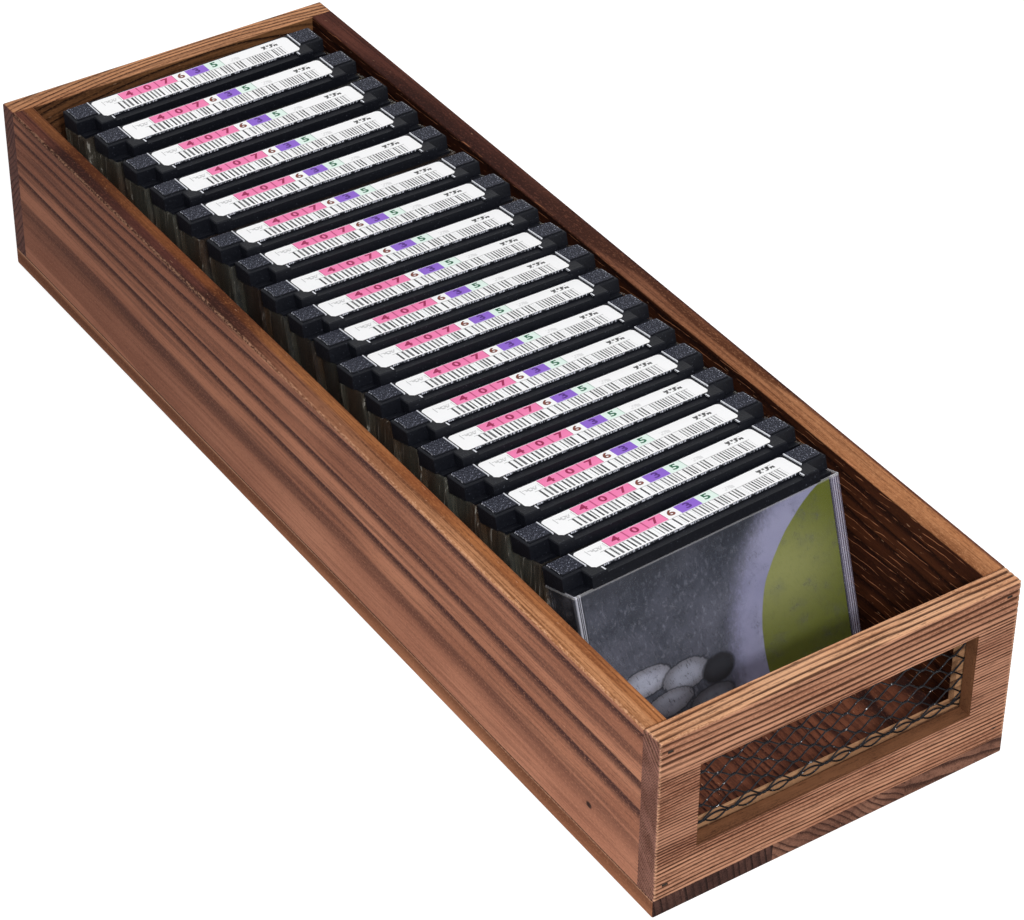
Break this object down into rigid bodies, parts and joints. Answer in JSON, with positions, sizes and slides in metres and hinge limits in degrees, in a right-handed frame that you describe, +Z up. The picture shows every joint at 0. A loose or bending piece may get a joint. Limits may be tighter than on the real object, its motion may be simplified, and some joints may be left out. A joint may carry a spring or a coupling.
{
  "type": "cassette storage drawer",
  "caption": "Long open wooden drawer with a wire-netting window in its front panel, holding a leaning row of labelled cassettes in clear cases.",
  "frame": {"origin": "middle of the underside, on the surface that the drawer stands on", "axes": "+X to the right seen from the front panel, +Y from the front panel to the back, +Z up"},
  "size_m": [0.14, 0.4276, 0.0779],
  "materials": {
    "board_wood": "oiled, brushed grain",
    "base_wood": "oiled",
    "batten_wood": "sawn",
    "netting_wire": "dark galvanised",
    "nail_steel": "dull",
    "cassette_plastic": "moulded black with speckled pads",
    "case_plastic": "clear",
    "card": "printed"
  },
  "bodies": {
    "tray": {"base_stave_left": "base_wood", "base_stave_middle": "base_wood", "base_stave_right": "base_wood", "left_side_board": "board_wood", "right_side_board": "board_wood", "back_board": "board_wood", "front_panel": "board_wood", "batten_top": "batten_wood", "batten_bottom": "batten_wood", "batten_left": "batten_wood", "batten_right": "batten_wood", "netting": "netting_wire", "front_brads": "nail_steel", "back_brads": "nail_steel", "base_brads": "nail_steel", "batten_pins": "nail_steel"},
    "cased_cassette_01": {"cassette_01": "cassette_plastic", "case_01": "case_plastic"},
    "cased_cassette_02": {"cassette_02": "cassette_plastic", "case_02": "case_plastic"},
    "cased_cassette_03": {"cassette_03": "cassette_plastic", "case_03": "case_plastic"},
    "cased_cassette_04": {"cassette_04": "cassette_plastic", "case_04": "case_plastic"},
    "cased_cassette_05": {"cassette_05": "cassette_plastic", "case_05": "case_plastic"},
    "cased_cassette_06": {"cassette_06": "cassette_plastic", "case_06": "case_plastic"},
    "cased_cassette_07": {"cassette_07": "cassette_plastic", "case_07": "case_plastic"},
    "cased_cassette_08": {"cassette_08": "cassette_plastic", "case_08": "case_plastic"},
    "cased_cassette_09": {"cassette_09": "cassette_plastic", "case_09": "case_plastic"},
    "cased_cassette_10": {"cassette_10": "cassette_plastic", "case_10": "case_plastic"},
    "cased_cassette_11": {"cassette_11": "cassette_plastic", "case_11": "case_plastic"},
    "cased_cassette_12": {"cassette_12": "cassette_plastic", "case_12": "case_plastic"},
    "cased_cassette_13": {"cassette_13": "cassette_plastic", "case_13": "case_plastic"},
    "cased_cassette_14": {"cassette_14": "cassette_plastic", "case_14": "case_plastic"},
    "cased_cassette_15": {"cassette_15": "cassette_plastic", "case_15": "case_plastic"},
    "cased_cassette_16": {"cassette_16": "cassette_plastic", "case_16": "case_plastic"},
    "cased_cassette_17": {"cassette_17": "cassette_plastic", "case_17": "case_plastic"},
    "cased_cassette_18": {"cassette_18": "cassette_plastic", "case_18": "case_plastic", "front_card": "card"}
  },
  "joints": [
    {"name": "lift_01", "type": "slide", "parent": "tray", "child": "cased_cassette_01", "axis": [-0.0033, 0.146, 0.9893], "range_m": [0, 0.075]},
    {"name": "lift_02", "type": "slide", "parent": "tray", "child": "cased_cassette_02", "axis": [-0.0029, 0.1667, 0.986], "range_m": [0, 0.075]},
    {"name": "lift_03", "type": "slide", "parent": "tray", "child": "cased_cassette_03", "axis": [-0.002, 0.1908, 0.9816], "range_m": [0, 0.075]},
    {"name": "lift_04", "type": "slide", "parent": "tray", "child": "cased_cassette_04", "axis": [-0.0007, 0.2113, 0.9774], "range_m": [0, 0.075]},
    {"name": "lift_05", "type": "slide", "parent": "tray", "child": "cased_cassette_05", "axis": [0.0008, 0.2283, 0.9736], "range_m": [0, 0.075]},
    {"name": "lift_06", "type": "slide", "parent": "tray", "child": "cased_cassette_06", "axis": [0.0026, 0.2521, 0.9677], "range_m": [0, 0.075]},
    {"name": "lift_07", "type": "slide", "parent": "tray", "child": "cased_cassette_07", "axis": [0.0041, 0.2588, 0.9659], "range_m": [0, 0.075]},
    {"name": "lift_08", "type": "slide", "parent": "tray", "child": "cased_cassette_08", "axis": [0.0057, 0.2722, 0.9622], "range_m": [0, 0.075]},
    {"name": "lift_09", "type": "slide", "parent": "tray", "child": "cased_cassette_09", "axis": [0.0059, 0.2806, 0.9598], "range_m": [0, 0.075]},
    {"name": "lift_10", "type": "slide", "parent": "tray", "child": "cased_cassette_10", "axis": [0.0055, 0.284, 0.9588], "range_m": [0, 0.075]},
    {"name": "lift_11", "type": "slide", "parent": "tray", "child": "cased_cassette_11", "axis": [0.004, 0.284, 0.9588], "range_m": [0, 0.075]},
    {"name": "lift_12", "type": "slide", "parent": "tray", "child": "cased_cassette_12", "axis": [0.003, 0.284, 0.9588], "range_m": [0, 0.075]},
    {"name": "lift_13", "type": "slide", "parent": "tray", "child": "cased_cassette_13", "axis": [0.001, 0.284, 0.9588], "range_m": [0, 0.075]},
    {"name": "lift_14", "type": "slide", "parent": "tray", "child": "cased_cassette_14", "axis": [0, 0.284, 0.9588], "range_m": [0, 0.075]},
    {"name": "lift_15", "type": "slide", "parent": "tray", "child": "cased_cassette_15", "axis": [-0.0025, 0.284, 0.9588], "range_m": [0, 0.075]},
    {"name": "lift_16", "type": "slide", "parent": "tray", "child": "cased_cassette_16", "axis": [-0.0064, 0.2839, 0.9588], "range_m": [0, 0.075]},
    {"name": "lift_17", "type": "slide", "parent": "tray", "child": "cased_cassette_17", "axis": [-0.0104, 0.2838, 0.9588], "range_m": [0, 0.075]},
    {"name": "lift_18", "type": "slide", "parent": "tray", "child": "cased_cassette_18", "axis": [-0.0148, 0.292, 0.9563], "range_m": [0, 0.075]}
  ]
}
